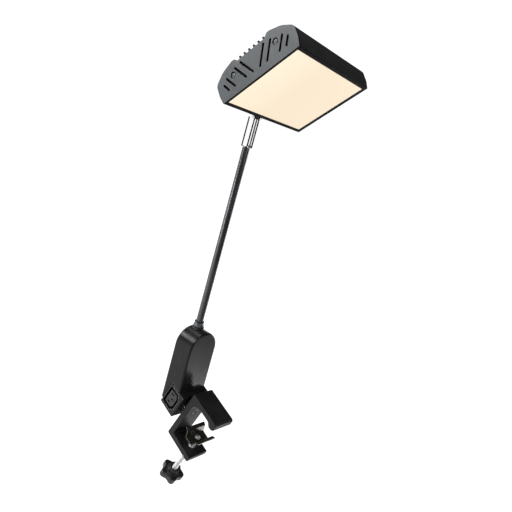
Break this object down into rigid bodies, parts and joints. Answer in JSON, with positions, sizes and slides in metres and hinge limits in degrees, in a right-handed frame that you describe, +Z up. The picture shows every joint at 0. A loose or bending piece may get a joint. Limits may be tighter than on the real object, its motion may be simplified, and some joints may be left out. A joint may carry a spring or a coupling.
{
  "type": "clamp arm lamp",
  "caption": "LED panel lamp on a slim swivelling arm, with a driver box that turns on a screw clamp for a table edge or a panel.",
  "frame": {"origin": "centre of the flat lip under the upper clamp jaw, where the lamp rests on the table top", "axes": "+X along the light panel's length, +Z up the clamp's spine, -Y out of the mouth of the clamp, the way the panel faces at rest"},
  "size_m": [0.1588, 0.2347, 0.5978],
  "materials": {
    "black_aluminium": "black anodised and powder coated aluminium, satin",
    "cap_grey": "grey moulded plastic end plate, fine matt texture",
    "black_nylon": "black glass-filled nylon, matt",
    "box_plastic": "black ABS, satin moulded",
    "chrome": "bright chrome plate",
    "zinc_steel": "bright zinc plated steel",
    "brass": "plain brass",
    "diffuser": "opal acrylic, lit warm white",
    "white_plastic": "white plastic",
    "board_green": "green solder mask",
    "winding_tape": "yellow polyester tape",
    "can_sleeve": "dark blue sleeve",
    "lead_black": "black flexible sheath"
  },
  "bodies": {
    "clamp": {"clamp_bracket": "black_aluminium", "thread_insert": "zinc_steel", "swivel_disc": "black_nylon", "swivel_bolt": "zinc_steel", "swivel_washer": "zinc_steel", "swivel_nut": "zinc_steel"},
    "saddle": {"saddle": "black_aluminium", "saddle_clip": "zinc_steel"},
    "screw": {"clamp_screw": "zinc_steel", "knob": "black_nylon", "knob_cap": "black_nylon"},
    "box": {"socket_housing": "box_plastic", "outlet_shell": "black_nylon", "outlet_contacts": "brass", "inlet_shell": "black_nylon", "inlet_pins": "brass", "rear_housing": "box_plastic", "front_housing": "box_plastic", "housing_screw_1": "zinc_steel", "housing_screw_2": "zinc_steel", "housing_screw_3": "zinc_steel", "housing_screw_4": "zinc_steel", "board_pad": "white_plastic", "driver_board": "board_green", "transformer": "winding_tape", "capacitor_left": "can_sleeve", "capacitor_right": "can_sleeve", "terminal_block": "white_plastic", "arm_bush": "black_nylon", "collar_nut": "zinc_steel"},
    "arm": {"collar_ring": "black_nylon", "arm_tube": "black_aluminium", "arm_retainer": "zinc_steel", "arm_lead": "lead_black", "fork": "chrome", "pivot_bolt": "zinc_steel", "pivot_nut": "zinc_steel", "pivot_washer_left": "zinc_steel", "pivot_washer_right": "zinc_steel"},
    "head": {"head_housing": "black_aluminium", "left_end_cap": "cap_grey", "right_end_cap": "cap_grey", "left_cap_screw_near": "zinc_steel", "left_cap_screw_far": "zinc_steel", "right_cap_screw_near": "zinc_steel", "right_cap_screw_far": "zinc_steel", "diffuser": "diffuser", "reflector_frame": "white_plastic", "led_board": "white_plastic", "head_lug": "black_aluminium", "lug_screw_left": "zinc_steel", "lug_screw_right": "zinc_steel"}
  },
  "joints": [
    {"name": "knob_turn", "type": "hinge", "parent": "saddle", "child": "screw", "pos_m": [0, 0.0135, -0.1265], "axis": [0, 0, 1], "range_deg": [-4032, 9504]},
    {"name": "saddle_travel", "type": "slide", "parent": "clamp", "child": "saddle", "axis": [0, 0, 1], "range_m": [-0.014, 0.033]},
    {"name": "box_swivel", "type": "hinge", "parent": "clamp", "child": "box", "pos_m": [0, 0.0535, -0.0216], "axis": [0, 1, 0], "range_deg": [-90, 90]},
    {"name": "arm_swivel", "type": "hinge", "parent": "box", "child": "arm", "pos_m": [0, 0.1145, 0.0714], "axis": [0, 0.3567, 0.9342], "range_deg": [-170, 170]},
    {"name": "head_tilt", "type": "hinge", "parent": "arm", "child": "head", "pos_m": [0, 0.22152, 0.35166], "axis": [1, 0, 0], "range_deg": [-138, 38]}
  ],
  "couplings": [
    {"joint": "knob_turn", "follows": "saddle_travel", "rad_per_m": 5026.5}
  ]
}
